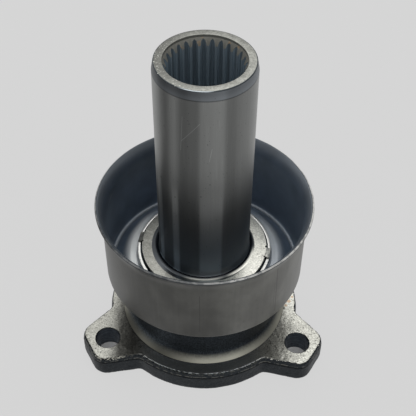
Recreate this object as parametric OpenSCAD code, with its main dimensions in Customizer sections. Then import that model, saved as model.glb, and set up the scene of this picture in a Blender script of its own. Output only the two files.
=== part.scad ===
// Transmission yoke: a splined slip barrel on a three-lug coupling flange,
// with a pressed dust shield staked to the shoulder between them.
// The origin is the centre of the flange's bolting face, and the barrel points up +Z.

/* [Barrel] */
// Outside diameter of the ground barrel
barrel_d = 38.1; // [36:0.1:42]
// Length of the barrel from the shoulder face to its mouth
barrel_len = 95.1; // [75:0.1:140]
// Height of the shoulder face above the bolting face
shoulder_h = 47.8; // [46:0.1:60]
// Radius of the fillet at the foot of the barrel
foot_fillet = 2.2; // [1:0.1:3]
// Length of the tapered lead-in below the mouth
lead_len = 3.6; // [2:0.1:6]
// Depth of the lead-in taper on the radius
lead_depth = 0.65; // [0.3:0.05:1]
// Rounding of the barrel's outer end edge
mouth_edge = 0.35; // [0.2:0.05:0.6]
// Bevel of the end face's inner edge
mouth_bevel = 0.3; // [0.1:0.05:0.5]

/* [Splines] */
// Number of spline teeth
spline_teeth = 28; // [24:1:32]
// Pitch diameter of the splines
spline_pitch_d = 29; // [28.8:0.05:29.3]
// Diameter at the bottom of the spline spaces
spline_major_d = 30; // [29.6:0.05:30.2]
// Diameter across the tips of the spline teeth
spline_minor_d = 27.8; // [27.4:0.05:28.2]
// Pressure angle of the spline flanks
spline_pressure_angle = 30; // [28:0.5:32]
// Length of the splined stretch, from the mouth down
spline_len = 84; // [60:1:88]
// Turn of the first spline space from +X
spline_turn = 4.3; // [0:0.1:12]
// Diameter of the plain mouth above the splines
mouth_d = 30.4; // [30.3:0.05:31.5]
// Depth of the plain mouth
mouth_depth = 1.2; // [0.8:0.1:3]
// Angle of the spline lead-in from the axis
mouth_cone_angle = 27; // [20:1:45]
// Diameter of the plain bore below the splines
relief_d = 31; // [30.6:0.1:31.6]

/* [Shoulder] */
// Diameter of the shoulder face and of the groove under it
shoulder_d = 53.4; // [51:0.1:56]
// Depth of the groove below the shoulder face
groove_depth = 2.2; // [1.8:0.1:3]
// Step from the groove out to the shield seat, on the radius
seat_step = 0.6; // [0.3:0.1:1]
// Height of the barrel's foot below the shoulder face
foot_h = 6.2; // [5:0.1:7]
// Diameter of the spigot that centres the barrel in the flange
spigot_d = 40; // [37:0.5:44]
// Length of that spigot
spigot_len = 6; // [3:0.5:9]
// Number of stakes that hold the shield
stake_count = 4; // [2:1:6]
// Turn of the first stake from +X
stake_turn = 82; // [0:1:90]
// Bevel of the shoulder's outer edge
shoulder_bevel = 0.15; // [0.1:0.05:0.3]
// Width of one stake where it leaves the shoulder
stake_w = 5.6; // [3:0.1:7]
// Amount by which each side of a stake narrows towards its tip
stake_taper = 1; // [0.4:0.1:1.4]
// Depth of a stake's upper face below the shoulder face
stake_dip = 0.25; // [0.1:0.05:0.5]
// Width of the collar's edge that a stake covers
stake_cover = 1.1; // [0.6:0.1:1.2]
// Radius of the notch at each end of a stake
stake_notch_r = 0.7; // [0.4:0.1:1]

/* [Dust shield] */
// Outside diameter of the shield at its flared rim
rim_d = 89.2; // [88:0.1:92]
// Outside diameter of the shield's wall below the flare
wall_d = 84.1; // [83:0.1:85]
// Angle from the axis at which the flare ends
flare_angle = 40; // [30:1:55]
// Height of the rim above the shoulder face
rim_rise = 26.9; // [15:0.1:45]
// Depth of the shield's lowest ring below the shoulder face
shield_drop = 11.3; // [10:0.1:12.5]
// Depth of the collar's top edge below the shoulder face
collar_drop = 1.3; // [0.8:0.1:1.6]
// Thickness of the sheet
sheet_t = 1.2; // [0.8:0.1:1.6]
// Slope of the shield's floor from its lowest ring up to its seat on the hub
floor_slope = 40; // [32:1:50]
// Radius of the bottom bend, at the middle of the sheet
wall_bend = 1.8; // [1.2:0.1:2.4]
// Radius of the bend between the slope and the flat seat, at the middle of the sheet
knee_bend = 4; // [2:0.1:5]
// Radius of the collar bend, at the middle of the sheet
collar_bend = 1.5; // [1:0.1:1.8]

/* [Flange] */
// Thickness of the flange
flange_t = 11; // [9:0.1:14]
// Diameter of the flange between its lugs
disc_d = 85; // [82:0.5:90]
// Number of lugs
lug_count = 3; // [2:1:4]
// Diameter of the circle of bolt holes
bolt_circle_d = 96; // [94:0.5:102]
// Diameter of the bolt holes
bolt_hole_d = 10.6; // [8:0.1:12]
// Bevel at both ends of a bolt hole
bolt_hole_bevel = 0.4; // [0.2:0.1:0.8]
// Radius from the axis to the lug tips
lug_reach = 57.5; // [56:0.5:62]
// Width across a lug's rounded corners
lug_w = 22.2; // [20:0.2:26]
// Corner radius of a lug
lug_corner = 6.5; // [4:0.1:8]
// Angle by which each side of a lug spreads towards the disc
lug_flare = 18.5; // [10:0.5:24]
// Radius where a lug runs into the disc
lug_root = 3; // [1:0.1:5]
// Rounding of the flange's lower edge
lower_edge = 1.2; // [0.4:0.1:2]
// Bevel of the flange's upper edge
upper_edge = 0.5; // [0.2:0.1:0.8]
// Width of the ledge where the forging was trimmed
trim_ledge = 0.35; // [0.1:0.05:0.6]
// Depth of that ledge below the upper face
trim_depth = 2.2; // [1.5:0.1:4]

/* [Hub] */
// Diameter of the raised foot ring round the hub
ring_d = 73.4; // [71:0.2:78]
// Height of the sharp step at the edge of the foot ring
ring_step = 0.35; // [0.2:0.05:0.8]
// Width of the bevel on the foot ring
ring_bevel = 2; // [1.5:0.1:2.5]
// Radius of the fillet between the foot ring and the hub
hub_fillet = 5; // [3:0.1:6]
// Diameter of the hub at its top, under the shield
hub_top_d = 61; // [60:0.2:64]

/* [Flange bore] */
// Diameter of the pilot recess in the bolting face
pilot_d = 44; // [42:0.5:52]
// Depth of the pilot recess
pilot_depth = 3; // [2:0.1:5]
// Bevel at the mouth of the pilot recess
pilot_bevel = 0.5; // [0.2:0.1:1]
// Diameter of the bore that holds the centring bush
bush_bore_d = 34; // [33.5:0.1:38]
// Width of the centring bush
bush_w = 12; // [10:0.1:14]
// Diameter of the seat of the core plug
plug_d = 32.2; // [32:0.1:33]
// Height of the core plug
plug_h = 4.4; // [3:0.1:6]
// Thickness of the core plug
plug_t = 1.5; // [1:0.1:2]

/* [Centring bush] */
// Bore of the bush sleeve
sleeve_bore_d = 16; // [14:0.1:18]
// Wall of the bush sleeve
sleeve_wall = 2.5; // [1.5:0.1:3]
// Amount by which the sleeve is longer than the rubber at each end
sleeve_proud = 0.5; // [0:0.1:1]
// Wall of the bush's steel shell
shell_wall = 1.4; // [1:0.1:2]
// Height left clear between the rubber and the ends of the shell
rubber_inset = 1; // [0.5:0.1:2]
// Thickness of the retaining ring
clip_t = 1.2; // [1:0.1:1.5]
// Height of the land that keeps the retaining ring's groove clear of the pilot recess
clip_land = 1.5; // [1:0.1:3]
// Radial depth of the retaining ring's groove
clip_groove = 0.9; // [0.5:0.1:1.2]
// Radial width of the retaining ring
clip_w = 2.6; // [2:0.1:3.2]
// Clear space round the retaining ring in its groove
clip_play = 0.1; // [0.05:0.05:0.15]
// Angle of the gap in the retaining ring
clip_gap = 28; // [20:1:40]
// Diameter of the eyes at the ring's ends
clip_eye_d = 3.8; // [3:0.1:4.4]
// Diameter of the hole in an eye
clip_hole_d = 1.9; // [1.2:0.1:2.4]

/* [Hidden] */

$fn = 96;
// Distances by which a cutting solid or an inner end runs past a face
past = 1;
eps = 0.01;
// Number of chords in an arc
arc_steps = 8;
// Share of the shield's seat that its two bends may take up
bend_share = 0.95;

barrel_r = barrel_d / 2;
mouth_z = shoulder_h + barrel_len;
mouth_r = mouth_d / 2;
relief_r = relief_d / 2;
spline_minor_r = spline_minor_d / 2;
spline_bottom_z = mouth_z - spline_len;

shoulder_r = shoulder_d / 2;
seat_r = shoulder_r + seat_step;
foot_z = shoulder_h - foot_h;
spigot_r = spigot_d / 2;
spigot_z = foot_z - spigot_len;

collar_z = shoulder_h - collar_drop;
shield_low_z = shoulder_h - shield_drop;
rim_z = shoulder_h + rim_rise;
half_sheet = sheet_t / 2;

flange_r = disc_d / 2;
lug_turn = 90;
lug_tip = [lug_reach - lug_corner, lug_w / 2 - lug_corner];
ring_r = ring_d / 2;
hub_top_r = hub_top_d / 2;

clip_z = pilot_depth + clip_land + clip_play;
bush_z = clip_z + clip_t + clip_play;
bush_top_z = bush_z + bush_w;
plug_top_z = bush_top_z + plug_h;
bush_bore_r = bush_bore_d / 2;
sleeve_r = sleeve_bore_d / 2 + sleeve_wall;

// Points on an arc about c from angle a0 to a1
function arc(c, r, a0, a1, n = arc_steps) =
    [for (i = [0:n]) let(a = a0 + (a1 - a0) * i / n) c + r * [cos(a), sin(a)]];

// The same points turned by a degrees about the origin
function turned(points, a) =
    [for (p = points) [p.x * cos(a) - p.y * sin(a), p.x * sin(a) + p.y * cos(a)]];

function reversed(list) = [for (i = [len(list) - 1:-1:0]) list[i]];

// The same points mirrored in the X axis, in reverse order
function flipped(points) = reversed([for (p = points) [p.x, -p.y]]);

function unit(v) = v / norm(v);
function left_of(v) = [-v.y, v.x];

// A path moved to its left by d, with mitred corners
function path_beside(path, d) = [for (i = [0:len(path) - 1])
    let(ahead = unit(path[min(i + 1, len(path) - 1)] - path[min(i, len(path) - 2)]),
        behind = unit(path[max(i, 1)] - path[max(i - 1, 0)]),
        side = left_of(unit(ahead + behind)))
    path[i] + d / (side * left_of(ahead)) * side];

// The outline of a sheet of thickness t that follows a path
function strip(path, t) = concat(path_beside(path, t / 2), reversed(path_beside(path, -t / 2)));

// Involute function, in degrees
function involute(a) = tan(a) * 180 / PI - a;

// Half of the angle that a spline space spans at radius r
function space_half_angle(r) =
    90 / spline_teeth + involute(spline_pressure_angle)
    - involute(acos(spline_pitch_d / 2 * cos(spline_pressure_angle) / r));

function polar(r, a) = [r * cos(a), r * sin(a)];

// Where the points of a flank and the start of the rounded bottom lie, in shares of the depth
flank_shares = [0, 0.35, 0.7];
bottom_share = 0.92;

// One spline space, from one tooth's tip down the flank, across the bottom and up the other
function spline_space() =
    let(minor = spline_minor_r, major = spline_major_d / 2, depth = major - minor,
        bottom = space_half_angle(major),
        side = concat([for (f = flank_shares) let(r = minor + f * depth) polar(r, -space_half_angle(r))],
            [polar(minor + bottom_share * depth, -bottom), polar(major, -bottom / 2)]))
    concat(side, flipped(side));

function spline_outline() = [for (k = [0:spline_teeth - 1])
    each turned(spline_space(), spline_turn + k * 360 / spline_teeth)];

// Outline of the flange, moved inwards by inset
function flange_outline(inset) =
    let(a = 90 - lug_flare, n = [cos(a), sin(a)], reach = flange_r + lug_root,
        c = lug_tip * n + lug_corner + lug_root,
        root = c * n + sqrt(reach * reach - c * c) * [n.y, -n.x],
        root_a = atan2(root.y, root.x),
        side = concat(arc(lug_tip, lug_corner - inset, 0, a, 6),
            arc(root, lug_root + inset, a + 180, root_a + 180, 4)),
        disc = arc([0, 0], flange_r - inset, root_a, 360 / lug_count - root_a, 18),
        between = [for (i = [1:len(disc) - 2]) disc[i]])
    [for (k = [0:lug_count - 1])
        each turned(concat(flipped(side), side, between), lug_turn + k * 360 / lug_count)];

// Height and inset of each layer of the flange's edge. The first and last run past the faces.
lower_knee = 0.3 * lower_edge;
over = 0.5;
flange_layers = [
    [-over, lower_edge + over * (lower_edge - lower_knee) / lower_knee],
    [lower_knee, lower_knee], [lower_edge, 0],
    [flange_t - trim_depth, 0], [flange_t - trim_depth + trim_ledge / 2, trim_ledge],
    [flange_t - upper_edge, trim_ledge], [flange_t + over, trim_ledge + upper_edge + over]];

// A solid through outlines with the same number of points, stacked on layers
module lofted(outlines, heights) {
    n = len(outlines[0]);
    top = len(outlines) - 1;
    polyhedron(
        points = [for (k = [0:top]) for (p = outlines[k]) [p.x, p.y, heights[k]]],
        faces = concat([[for (i = [0:n - 1]) i]],
            [for (k = [0:top - 1]) for (i = [0:n - 1]) let(j = (i + 1) % n)
                each [[k * n + i, (k + 1) * n + i, (k + 1) * n + j],
                    [k * n + i, (k + 1) * n + j, k * n + j]]],
            [[for (i = [n - 1:-1:0]) top * n + i]]));
}

// A plain ring about the axis
module ring(outer_r, inner_r, low_z, high_z) {
    rotate_extrude()
        translate([inner_r, low_z])
            square([outer_r - inner_r, high_z - low_z]);
}

// The barrel's half section: spigot, foot, shoulder, fillet, ground wall and mouth
module barrel_section() {
    fillet_at = [barrel_r + foot_fillet, shoulder_h + foot_fillet];
    end_r = barrel_r - lead_depth;
    cone_len = (mouth_r - spline_minor_r) / tan(mouth_cone_angle);
    polygon(concat(
        [[relief_r, spigot_z], [spigot_r - upper_edge, spigot_z],
            [spigot_r, spigot_z + upper_edge], [spigot_r, foot_z], [seat_r, foot_z],
            [seat_r, shoulder_h - groove_depth], [shoulder_r, shoulder_h - groove_depth],
            [shoulder_r, shoulder_h - shoulder_bevel], [shoulder_r - shoulder_bevel, shoulder_h]],
        arc(fillet_at, foot_fillet, 270, 180),
        [[barrel_r, mouth_z - lead_len]],
        arc([end_r - mouth_edge, mouth_z - mouth_edge], mouth_edge, 0, 90, 4),
        [[mouth_r + mouth_bevel, mouth_z], [mouth_r, mouth_z - mouth_bevel],
            [mouth_r, mouth_z - mouth_depth],
            [spline_minor_r, mouth_z - mouth_depth - cone_len],
            [spline_minor_r, spline_bottom_z - (relief_r - spline_minor_r)],
            [relief_r, spline_bottom_z - 2 * (relief_r - spline_minor_r)]]));
}

// Metal pushed out from the shoulder over the shield's collar
module stake() {
    tip_r = seat_r + stake_cover;
    root_r = shoulder_r - past;
    tip_w = stake_w - 2 * stake_taper;
    translate([0, 0, collar_z])
        linear_extrude(height = collar_drop - stake_dip)
            polygon([[root_r, -stake_w / 2], [tip_r, -tip_w / 2],
                [tip_r, tip_w / 2], [root_r, stake_w / 2]]);
}

// The notches that the staking tool leaves at both ends of a stake
module stake_notches() {
    for (side = [-1, 1])
        translate([shoulder_r, side * (stake_w + stake_notch_r) / 2, collar_z - past / 2])
            cylinder(r = stake_notch_r, h = collar_drop + past, $fn = 24);
}

module each_stake() {
    for (k = [0:stake_count - 1])
        rotate([0, 0, stake_turn + k * 360 / stake_count])
            children();
}

module barrel() {
    color([0.50, 0.50, 0.49])
        union() {
            difference() {
                rotate_extrude()
                    barrel_section();
                translate([0, 0, spline_bottom_z])
                    linear_extrude(height = spline_len + past)
                        polygon(spline_outline());
                each_stake()
                    stake_notches();
            }
            each_stake()
                stake();
        }
}

// Middle line of the shield's sheet: rim, flare, wall, slope, flat seat and collar.
// The bends at both ends of the seat are limited by its width.
function shield_path() =
    let(wall_r = wall_d / 2 - half_sheet,
        rim = [rim_d / 2, rim_z] - half_sheet * [cos(flare_angle), sin(flare_angle)],
        flare_r = (rim.x - wall_r) / (1 - cos(flare_angle)),
        flare_centre = [wall_r + flare_r, rim.y - flare_r * sin(flare_angle)],
        wall_centre = [wall_r - wall_bend, shield_low_z + half_sheet + wall_bend],
        seat_z = foot_z + half_sheet,
        rise = seat_z - wall_centre.y + wall_bend / cos(floor_slope),
        slope_top = wall_centre.x - rise / tan(floor_slope),
        collar_x = seat_r + half_sheet,
        bends = knee_bend * tan(floor_slope / 2) + collar_bend,
        fit = min(1, bend_share * (slope_top - collar_x) / bends),
        knee = fit * knee_bend,
        collar = fit * collar_bend)
    concat(arc(flare_centre, flare_r, 180 - flare_angle, 180),
        arc(wall_centre, wall_bend, 0, -90 - floor_slope),
        arc([slope_top - knee * tan(floor_slope / 2), seat_z - knee], knee, 90 - floor_slope, 90),
        arc([collar_x, seat_z] + collar * [1, 1], collar, 270, 180),
        [[collar_x, collar_z]]);

module dust_shield() {
    color([0.33, 0.34, 0.33])
        rotate_extrude($fn = 128)
            polygon(strip(shield_path(), sheet_t));
}

// The hub's half section: foot ring, fillet, tapered wall and the flat top under the shield
module hub_section() {
    ring_top = flange_t + ring_step;
    fillet_r = ring_r - ring_bevel - hub_fillet * (1 - cos(45));
    fillet_at = [fillet_r + hub_fillet, ring_top + ring_bevel + hub_fillet * sin(45)];
    polygon(concat(
        [[0, flange_t / 2], [ring_r, flange_t / 2], [ring_r, ring_top]],
        arc(fillet_at, hub_fillet, 225, 180),
        [[hub_top_r, foot_z - upper_edge], [hub_top_r - upper_edge, foot_z], [0, foot_z]]));
}

// Everything bored out of the flange along its axis
module flange_bore() {
    pilot_r = pilot_d / 2;
    rotate_extrude()
        polygon([
            [0, -past], [pilot_r + pilot_bevel + past, -past], [pilot_r, pilot_bevel],
            [pilot_r, pilot_depth], [bush_bore_r, pilot_depth],
            [bush_bore_r, bush_top_z], [plug_d / 2, bush_top_z], [plug_d / 2, plug_top_z],
            [relief_r, plug_top_z], [relief_r, spigot_z], [spigot_r, spigot_z],
            [spigot_r, foot_z + past], [0, foot_z + past]]);
    ring(bush_bore_r + clip_groove, bush_bore_r - past, clip_z - clip_play,
        clip_z + clip_t + clip_play);
}

module bolt_hole() {
    hole_r = bolt_hole_d / 2;
    translate([0, 0, -past])
        cylinder(r = hole_r, h = flange_t + 2 * past);
    translate([0, 0, -eps])
        cylinder(r1 = hole_r + bolt_hole_bevel, r2 = hole_r, h = bolt_hole_bevel);
    translate([0, 0, flange_t - bolt_hole_bevel])
        cylinder(r1 = hole_r, r2 = hole_r + bolt_hole_bevel, h = bolt_hole_bevel + eps);
}

module flange() {
    color([0.46, 0.46, 0.43])
        difference() {
            union() {
                intersection() {
                    lofted([for (layer = flange_layers) flange_outline(layer[1])],
                        [for (layer = flange_layers) layer[0]]);
                    cylinder(r = lug_reach + past, h = flange_t);
                }
                rotate_extrude()
                    hub_section();
            }
            flange_bore();
            for (k = [0:lug_count - 1])
                rotate([0, 0, lug_turn + k * 360 / lug_count])
                    translate([bolt_circle_d / 2, 0, 0])
                        bolt_hole();
        }
}

// Pressed steel plug that closes the splined bore behind the bush
module core_plug() {
    plug_r = plug_d / 2;
    color([0.62, 0.60, 0.50])
        rotate_extrude()
            polygon(concat(
                [[0, plug_top_z - plug_t]],
                arc([plug_r - 2 * plug_t, plug_top_z - 2 * plug_t], plug_t, 90, 0),
                [[plug_r - plug_t, bush_top_z], [plug_r, bush_top_z]],
                arc([plug_r - 2 * plug_t, plug_top_z - 2 * plug_t], 2 * plug_t, 0, 90),
                [[0, plug_top_z]]));
}

module bush_shell() {
    color([0.42, 0.43, 0.44])
        ring(bush_bore_r, bush_bore_r - shell_wall, bush_z, bush_top_z);
}

module bush_rubber() {
    color([0.06, 0.06, 0.06])
        ring(bush_bore_r - shell_wall, sleeve_r, bush_z + rubber_inset,
            bush_top_z - rubber_inset);
}

module bush_sleeve() {
    end_inset = rubber_inset - sleeve_proud;
    color([0.72, 0.53, 0.27])
        ring(sleeve_r, sleeve_bore_d / 2, bush_z + end_inset, bush_top_z - end_inset);
}

module each_eye(r, turn) {
    for (side = [-1, 1])
        rotate([0, 0, side * turn])
            translate([r, 0, 0])
                children();
}

// Spring ring with two eyes, sprung into the groove below the bush
module retaining_ring() {
    outer_r = bush_bore_r + clip_groove - clip_play;
    eye_at = outer_r - clip_w - clip_play;
    eye_turn = clip_gap / 2 + asin(clip_hole_d / 2 / eye_at);
    color([0.22, 0.22, 0.24])
        translate([0, 0, clip_z])
            difference() {
                union() {
                    difference() {
                        cylinder(r = outer_r, h = clip_t);
                        translate([0, 0, -past])
                            cylinder(r = outer_r - clip_w, h = clip_t + 2 * past);
                        translate([0, 0, -past])
                            linear_extrude(height = clip_t + 2 * past)
                                polygon([[0, 0], 2 * polar(outer_r, -clip_gap / 2),
                                    2 * polar(outer_r, clip_gap / 2)]);
                    }
                    each_eye(eye_at, eye_turn)
                        cylinder(d = clip_eye_d, h = clip_t);
                }
                each_eye(eye_at, eye_turn)
                    translate([0, 0, -past])
                        cylinder(d = clip_hole_d, h = clip_t + 2 * past, $fn = 32);
            }
}

barrel();
flange();
dust_shield();
core_plug();
bush_shell();
bush_rubber();
bush_sleeve();
retaining_ring();
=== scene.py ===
import math

import bpy
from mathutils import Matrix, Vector


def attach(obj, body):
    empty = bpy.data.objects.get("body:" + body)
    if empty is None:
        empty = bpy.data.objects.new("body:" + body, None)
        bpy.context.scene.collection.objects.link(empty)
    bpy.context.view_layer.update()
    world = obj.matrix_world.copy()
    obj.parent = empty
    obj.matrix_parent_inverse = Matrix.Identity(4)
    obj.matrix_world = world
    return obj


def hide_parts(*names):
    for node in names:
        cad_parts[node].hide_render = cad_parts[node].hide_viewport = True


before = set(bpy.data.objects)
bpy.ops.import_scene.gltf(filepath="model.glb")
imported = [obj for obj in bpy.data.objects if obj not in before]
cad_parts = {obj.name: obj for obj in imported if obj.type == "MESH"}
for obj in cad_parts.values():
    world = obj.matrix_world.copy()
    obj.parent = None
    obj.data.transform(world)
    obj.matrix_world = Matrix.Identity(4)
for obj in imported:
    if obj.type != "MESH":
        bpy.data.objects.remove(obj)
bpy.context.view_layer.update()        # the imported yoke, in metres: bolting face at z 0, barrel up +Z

print('frame loaded:', ', '.join(sorted(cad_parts)))

mm = 0.001


# Camera

camera = {
    'place': (6.36, -242.80, 315.80),    # mm
    'turn': (43.97, -0.24, 1.75),    # degrees
    'focalLength': 73.07,
    'shift': (0.0088, 0.0218),
}

bpy.ops.object.camera_add(
    location=[v * mm for v in camera['place']],
    rotation=[math.radians(v) for v in camera['turn']])
photoCamera = bpy.context.object
photoCamera.name = 'photoCamera'
photoCamera.data.lens = camera['focalLength']
photoCamera.data.shift_x, photoCamera.data.shift_y = camera['shift']
photoCamera.data.clip_start = 0.01
bpy.context.scene.camera = photoCamera
print('camera placed')


# Modelling helpers. Outlines are lists of (radius, height) in mm, turned about the yoke's axis.

onAxis = 0.0002    # mm, closes to a point when doubles are merged
mergeWithin = 0.001    # mm
wallSteps = 192
drillSteps = 96


def deselect():
    bpy.ops.object.select_all(action='DESELECT')


def endEdit():
    bpy.ops.object.mode_set(mode='OBJECT')


def selectOnly(piece):
    deselect()
    bpy.context.view_layer.objects.active = piece
    piece.select_set(True)


def settled(piece, name='tool'):
    # The place goes into the mesh and the object returns to the origin
    selectOnly(piece)
    bpy.ops.object.transform_apply(location=True, rotation=True, scale=True)
    piece.name = piece.data.name = name
    return piece


def pick(piece, test, faces=False):
    # Opens edit mode with what passes the test selected: vertices, tested by their place in mm,
    # or faces, tested as they are
    for part in (piece.data.vertices, piece.data.edges, piece.data.polygons):
        part.foreach_set('select', [False] * len(part))
    for part in piece.data.polygons if faces else piece.data.vertices:
        part.select = test(part if faces else part.co / mm)
    bpy.context.view_layer.objects.active = piece
    bpy.context.tool_settings.mesh_select_mode = (not faces, False, faces)
    bpy.ops.object.mode_set(mode='EDIT')


def applied(piece, kind, **settings):
    work = piece.modifiers.new(kind.lower(), kind)
    for key, value in settings.items():
        setattr(work, key, value)
    bpy.context.view_layer.objects.active = piece
    bpy.ops.object.modifier_apply(modifier=work.name)
    return piece


def joined(piece, tool, operation='UNION'):
    applied(piece, 'BOOLEAN', operation=operation, solver='MANIFOLD', object=tool)
    bpy.data.objects.remove(tool)
    return piece


# Rounds the corners (radius, height, rounding) of an outline
def softened(corners, steps=5, closed=True):
    points = []
    for number, (radius, height, rounding) in enumerate(corners):
        corner = Vector((radius, height))
        atEnd = not closed and number in (0, len(corners) - 1)
        if not rounding or atEnd:
            points.append(corner)
            continue
        back = (Vector(corners[number - 1][:2]) - corner).normalized()
        ahead = (Vector(corners[(number + 1) % len(corners)][:2]) - corner).normalized()
        half = back.angle(ahead) / 2
        centre = corner + (back + ahead).normalized() * (rounding / math.sin(half))
        start = (corner + back * (rounding / math.tan(half)) - centre).normalized()
        end = (corner + ahead * (rounding / math.tan(half)) - centre).normalized()
        points += [centre + start.slerp(end, k / steps) * rounding for k in range(steps + 1)]
    return points


def latheTurned(name, outline, steps=wallSteps):
    radius, height = outline[0]
    deselect()
    bpy.ops.mesh.primitive_circle_add(vertices=steps, radius=radius * mm,
                                      location=(0, 0, height * mm))
    piece = settled(bpy.context.object, name)
    bpy.ops.object.mode_set(mode='EDIT')
    bpy.ops.mesh.select_all(action='SELECT')
    for nextRadius, nextHeight in outline[1:] + outline[:1]:
        rise = (nextHeight - height) * mm
        share = nextRadius / radius
        bpy.ops.mesh.extrude_region_move(TRANSFORM_OT_translate={'value': (0, 0, rise)})
        bpy.ops.transform.resize(value=(share, share, 1), center_override=(0, 0, 0))
        radius, height = nextRadius, nextHeight
    bpy.ops.mesh.select_all(action='SELECT')
    bpy.ops.mesh.remove_doubles(threshold=mergeWithin * mm)
    bpy.ops.mesh.normals_make_consistent(inside=False)
    endEdit()
    return piece


# Each face takes the last finish whose test it passes, by its middle in mm and its normal
def finished(piece, coats, node, angle=30):
    selectOnly(piece)
    bpy.ops.object.shade_smooth_by_angle(angle=math.radians(angle))
    piece.data.materials.clear()
    for finish, test in coats:
        piece.data.materials.append(finish)
    for face in piece.data.polygons:
        for number, (finish, test) in enumerate(coats):
            if test(face.center / mm, face.normal):
                face.material_index = number
    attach(piece, 'root')
    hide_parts(node)
    print('piece made:', piece.name)


def everywhere(*place):
    return True


# Barrel: turned body, cut splines, stakes pushed over the shield's collar

barrel = {
    'radius': 19.05,    # all in mm
    'mouth': 142.9,
    'leadIn': 139.3,
    'endRadius': 18.4,
    'shoulder': 47.8,
    'shoulderRadius': 26.7,
    'seatRadius': 27.3,
    'groove': 45.6,
    'foot': 41.6,
    'spigotRadius': 20.0,
    'spigotEnd': 35.6,
    'boreRadius': 15.5,
    'mouthRadius': 15.2,
    'mouthDepth': 1.0,
    'coneAngle': 24.5,    # degrees
    'footFillet': 2.2,
    'leadInRounding': 1.5,
    'spigotRounding': 0.5,
    'endRounding': 0.4,
    'boreRounding': 0.3,
    'edgeRounding': 0.2,
    'seatRounding': 0.15,
    'mouthRounding': 0.12,
    'coneRounding': 0.1,
    'wallStart': 1.2,    # over the shoulder, where the ground finish starts
}

spline = {
    'teeth': 28,
    'pitchRadius': 14.5,
    'tipRadius': 13.9,
    'rootRadius': 15.0,
    'pressureAngle': 30.0,
    'flankSteps': (0, 0.4, 0.8),    # over the tip radius
    'bottomRise': 0.16,    # from the root to where the flank turns into the rounded bottom
    'bottomShare': 0.7,
    'turn': 4.3,    # degrees
    'bottom': 58.9,
}

stake = {
    'firstAt': 82.0,    # degrees
    'count': 4,
    'width': 5.2,
    'inner': 25.9,
    'outer': 28.35,
    'low': 46.55,
    'high': 47.62,
    'slope': 0.5,
    'rounding': 0.15,
    'bruise': 0.05,    # how far the corners of the tab wander
    'notch': 0.8,
    'notchAt': 3.1,
    'notchDepth': 3.0,
    'notchShape': (1.25, 0.62, 1.0),
    'notchTurn': 25.0,    # degrees
    'notchBreak': 0.16,
}


def involute(angle):
    return math.degrees(math.tan(math.radians(angle))) - angle


# Half of the angle that a spline space spans at a radius
def halfSpace(radius):
    base = spline['pitchRadius'] * math.cos(math.radians(spline['pressureAngle']))
    onFlank = math.degrees(math.acos(base / radius))
    return 90 / spline['teeth'] + involute(spline['pressureAngle']) - involute(onFlank)


def splineCutter():
    tip, root = spline['tipRadius'], spline['rootRadius']
    flank = [(tip + step, halfSpace(tip + step)) for step in spline['flankSteps']]
    flank.append((root - spline['bottomRise'], halfSpace(root) * spline['bottomShare']))
    corners = [(radius, -angle) for radius, angle in flank] + [(root, 0)]
    corners += [(radius, angle) for radius, angle in reversed(flank)]
    around = spline['teeth'] * len(corners)
    step = 360 / around
    low, high = spline['bottom'], barrel['mouth'] + 1
    deselect()
    bpy.ops.mesh.primitive_cylinder_add(vertices=around, radius=root * mm, depth=(high - low) * mm,
                                        location=(0, 0, (low + high) / 2 * mm))
    cutter = settled(bpy.context.object, 'splineCutter')
    numbers = [round(math.degrees(math.atan2(v.co.y, v.co.x)) / step) % len(corners)
               for v in cutter.data.vertices]
    for number, (radius, angle) in enumerate(corners):
        its = iter(numbers)
        pick(cutter, lambda v: next(its) == number)
        bpy.ops.transform.resize(value=(radius / root, radius / root, 1), center_override=(0, 0, 0))
        turn = math.radians(spline['turn'] + angle - number * step)
        bpy.ops.transform.rotate(value=-turn, orient_axis='Z', center_override=(0, 0, 0))
        endEdit()
    return cutter


def aroundAxis(tool, degrees):
    settled(tool)
    tool.rotation_euler.z = math.radians(degrees)
    return settled(tool)


def stakeTab(bearing, seed):
    deep, tall = stake['outer'] - stake['inner'], stake['high'] - stake['low']
    deselect()
    bpy.ops.mesh.primitive_cube_add(
        size=1, location=[v * mm for v in ((stake['inner'] + stake['outer']) / 2, 0,
                                           (stake['low'] + stake['high']) / 2)])
    tab = bpy.context.object
    tab.scale = (deep * mm, stake['width'] * mm, tall * mm)
    settled(tab)
    pick(tab, lambda v: v.x > stake['outer'] - 0.1 and v.z > stake['high'] - 0.1)
    bpy.ops.transform.translate(value=(0, 0, -stake['slope'] * mm))
    bpy.ops.mesh.select_all(action='SELECT')
    bpy.ops.mesh.bevel(offset=stake['rounding'] * mm, segments=2)
    bpy.ops.mesh.subdivide(number_cuts=2)
    bpy.ops.transform.vertex_random(offset=stake['bruise'] * mm, seed=seed)
    endEdit()
    return aroundAxis(tab, bearing)


def stakeCrack(bearing, side, seed):
    deselect()
    bpy.ops.mesh.primitive_cylinder_add(
        vertices=7, radius=stake['notch'] * mm, depth=stake['notchDepth'] * mm,
        location=(barrel['shoulderRadius'] * mm, side * stake['notchAt'] * mm,
                  barrel['shoulder'] * mm))
    crack = bpy.context.object
    crack.scale = stake['notchShape']
    crack.rotation_euler.z = math.radians(side * stake['notchTurn'])
    settled(crack)
    pick(crack, everywhere)
    bpy.ops.transform.vertex_random(offset=stake['notchBreak'] * mm, seed=seed)
    endEdit()
    return aroundAxis(crack, bearing)


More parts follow.
